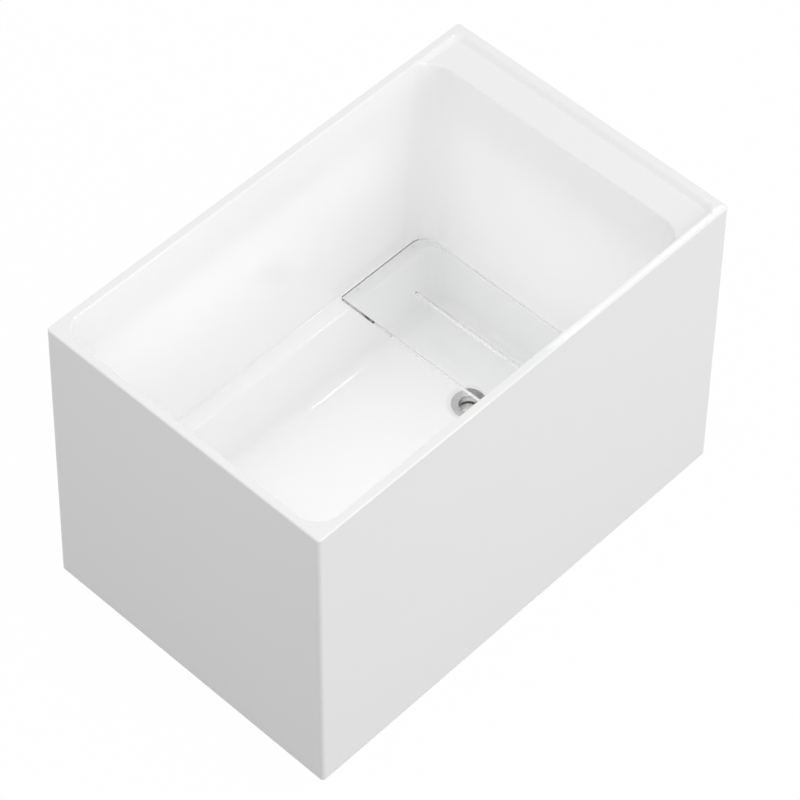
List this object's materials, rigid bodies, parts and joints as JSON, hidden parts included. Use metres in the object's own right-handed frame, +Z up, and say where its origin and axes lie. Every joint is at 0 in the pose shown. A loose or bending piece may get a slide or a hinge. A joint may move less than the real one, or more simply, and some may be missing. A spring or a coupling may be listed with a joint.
{
  "type": "soaking tub",
  "caption": "Deep rectangular skirted soaking tub with a sunken tap deck, inner ledges, a loose clear seat board and a floor drain.",
  "frame": {"origin": "centre of the tub's footprint, on the ground under the feet", "axes": "+X along the tub towards the tap deck, +Y across the tub, +Z up"},
  "size_m": [1.11, 0.723, 0.738],
  "materials": {
    "white_acrylic": "gloss",
    "glass_fibre": "rough laid glass fibre in resin",
    "timber": "plywood",
    "coated_steel": "galvanised and painted",
    "zinc": "zinc plated",
    "black_rubber": "matt",
    "polished_metal": "polished",
    "raw_brass": "turned",
    "white_plastic": "moulded",
    "clear_acrylic": "clear, polished edges",
    "clear_rubber": "clear, soft"
  },
  "bodies": {
    "tub": {"basin_shell": "white_acrylic", "basin_backing": "glass_fibre", "outer_skirt": "white_acrylic", "skirt_backing": "glass_fibre", "rim_bond": "glass_fibre", "deck_board": "timber", "floor_board": "timber", "frame_long_rails": "coated_steel", "frame_cross_rails": "coated_steel", "side_brackets": "coated_steel", "end_brackets": "coated_steel", "bracket_screws": "zinc", "floor_screws": "zinc", "foot_bushes": "zinc", "foot_lock_nuts": "zinc", "drain_body": "polished_metal", "drain_top_gasket": "black_rubber", "drain_bottom_gasket": "black_rubber", "drain_slip_ring": "white_plastic", "drain_nut": "raw_brass", "tail_pipe": "white_plastic", "tail_washer": "black_rubber", "tail_union_nut": "white_plastic", "plug_spring": "zinc", "plug_cartridge": "white_plastic", "cartridge_cap": "white_plastic"},
    "seat": {"seat_board": "clear_acrylic", "seat_bumpers": "clear_rubber"},
    "plug": {"plug_cap": "polished_metal", "plug_seal": "black_rubber", "plug_stem": "raw_brass"},
    "foot_1": {"foot_stud_1": "zinc", "foot_pad_1": "black_rubber"},
    "foot_2": {"foot_stud_2": "zinc", "foot_pad_2": "black_rubber"},
    "foot_3": {"foot_stud_3": "zinc", "foot_pad_3": "black_rubber"},
    "foot_4": {"foot_stud_4": "zinc", "foot_pad_4": "black_rubber"}
  },
  "joints": [
    {"name": "seat_slide", "type": "slide", "parent": "tub", "child": "seat", "axis": [1, 0, 0], "range_m": [-0.605, 0.01]},
    {"name": "plug_lift", "type": "slide", "parent": "tub", "child": "plug", "axis": [0, 0, 1], "range_m": [0, 0.008], "deforming": ["plug_spring"]},
    {"name": "foot_1_screw", "type": "slide", "parent": "tub", "child": "foot_1", "axis": [0, 0, 1], "range_m": [-0.015, 0]},
    {"name": "foot_2_screw", "type": "slide", "parent": "tub", "child": "foot_2", "axis": [0, 0, 1], "range_m": [-0.015, 0]},
    {"name": "foot_3_screw", "type": "slide", "parent": "tub", "child": "foot_3", "axis": [0, 0, 1], "range_m": [-0.015, 0]},
    {"name": "foot_4_screw", "type": "slide", "parent": "tub", "child": "foot_4", "axis": [0, 0, 1], "range_m": [-0.015, 0]}
  ]
}
